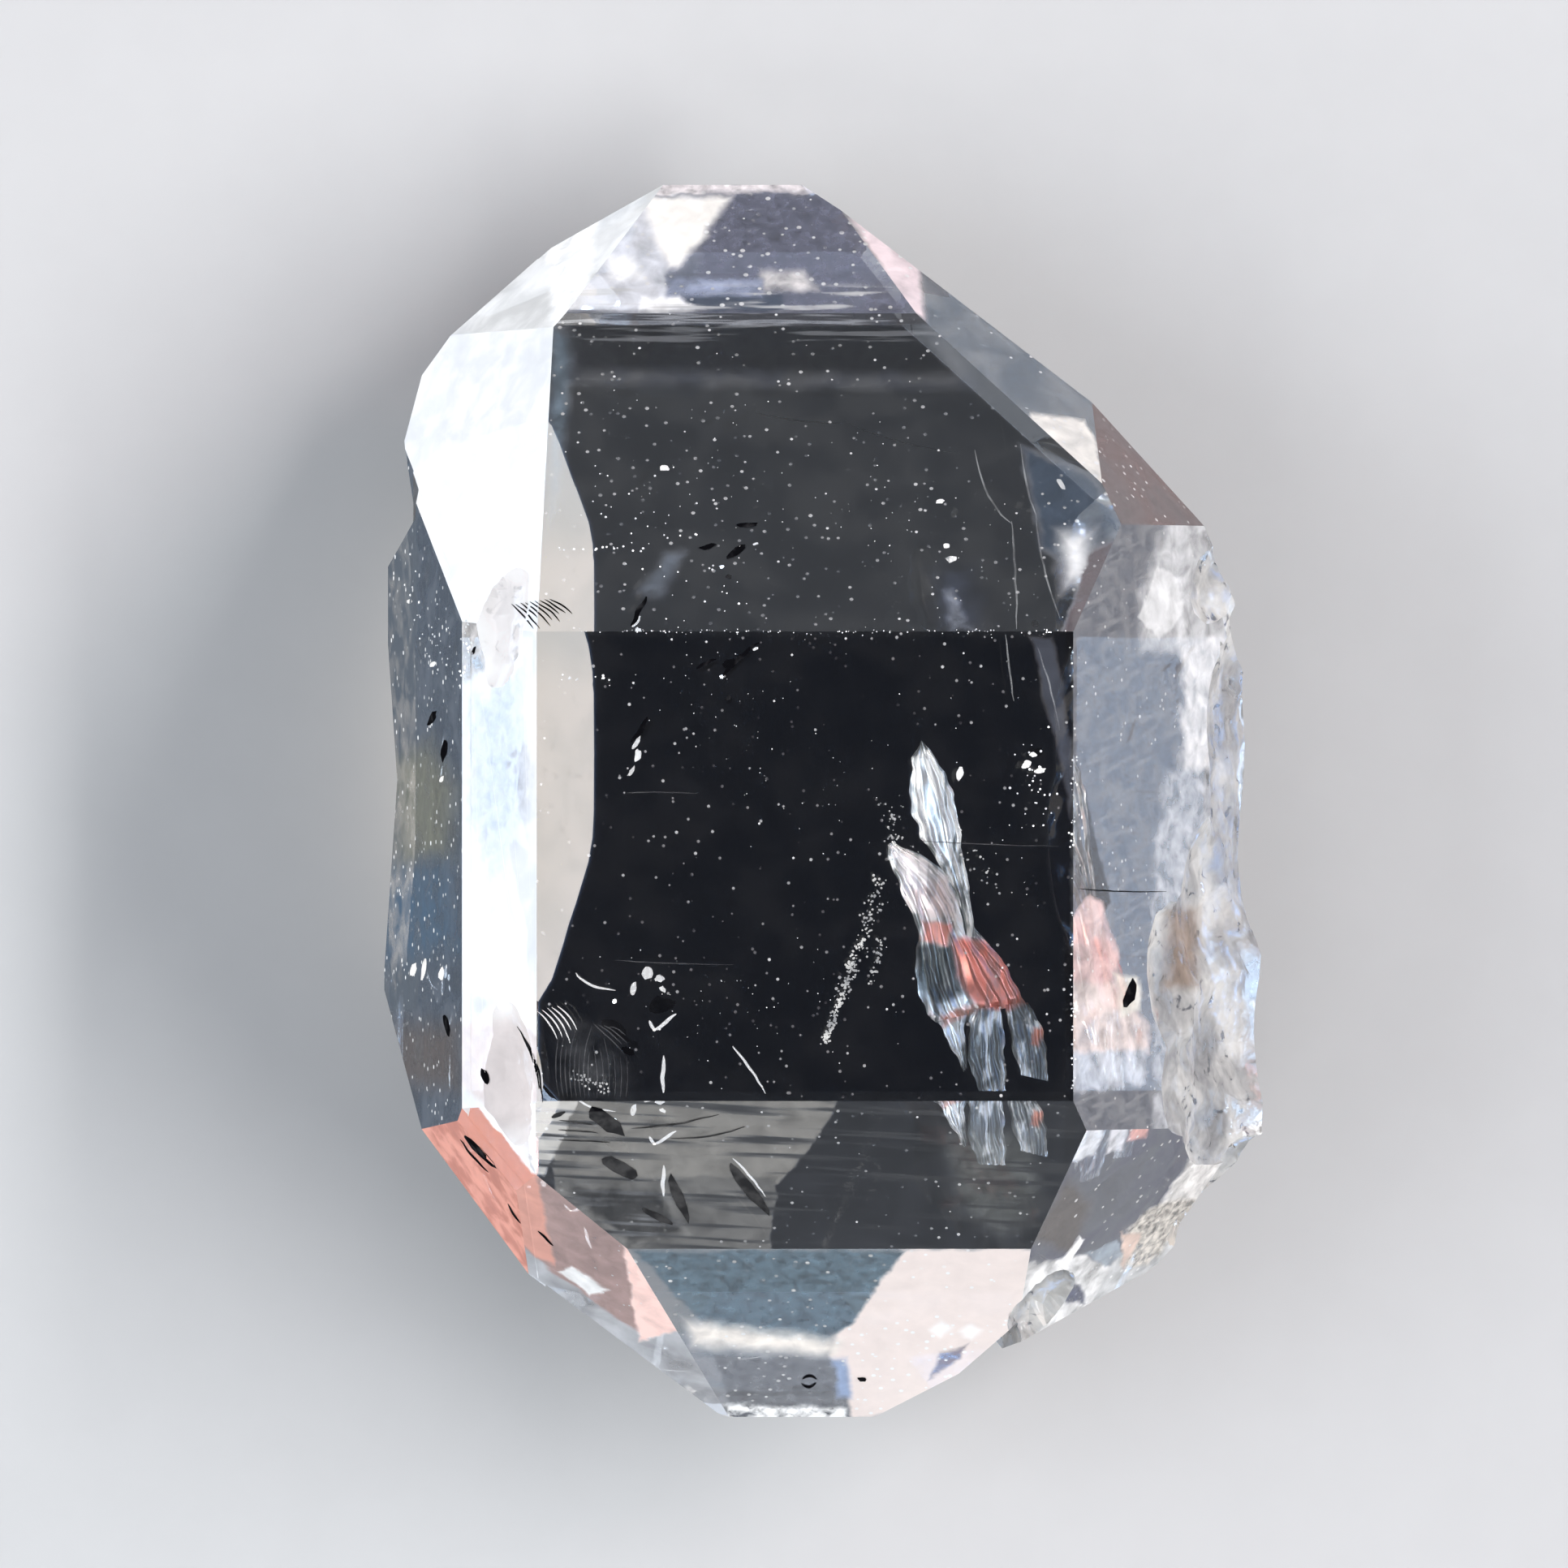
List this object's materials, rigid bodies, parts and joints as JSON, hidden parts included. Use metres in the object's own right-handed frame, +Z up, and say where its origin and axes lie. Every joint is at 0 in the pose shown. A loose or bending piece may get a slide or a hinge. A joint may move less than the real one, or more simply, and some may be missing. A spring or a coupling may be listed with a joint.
{
  "type": "herkimer diamond",
  "caption": "Clear doubly terminated quartz crystal with flat growth faces, chipped and shell-broken edges, lying on a prism face.",
  "frame": {"origin": "middle of the bounding box in X and Y, at the height of the prism face that the crystal rests on", "axes": "+Y along the crystal's long axis towards its upper pyramid, +X across it, +Z up from the prism face that it rests on"},
  "size_m": [0.0142, 0.0198, 0.009],
  "materials": {
    "quartz": "colourless and clear, bright flat growth faces, satin where it is broken",
    "fracture": "silvery white films and specks inside the crystal",
    "stain": "salmon-red iron film in the fractures"
  },
  "bodies": {
    "root": {"crystal": "quartz"}
  },
  "joints": []
}
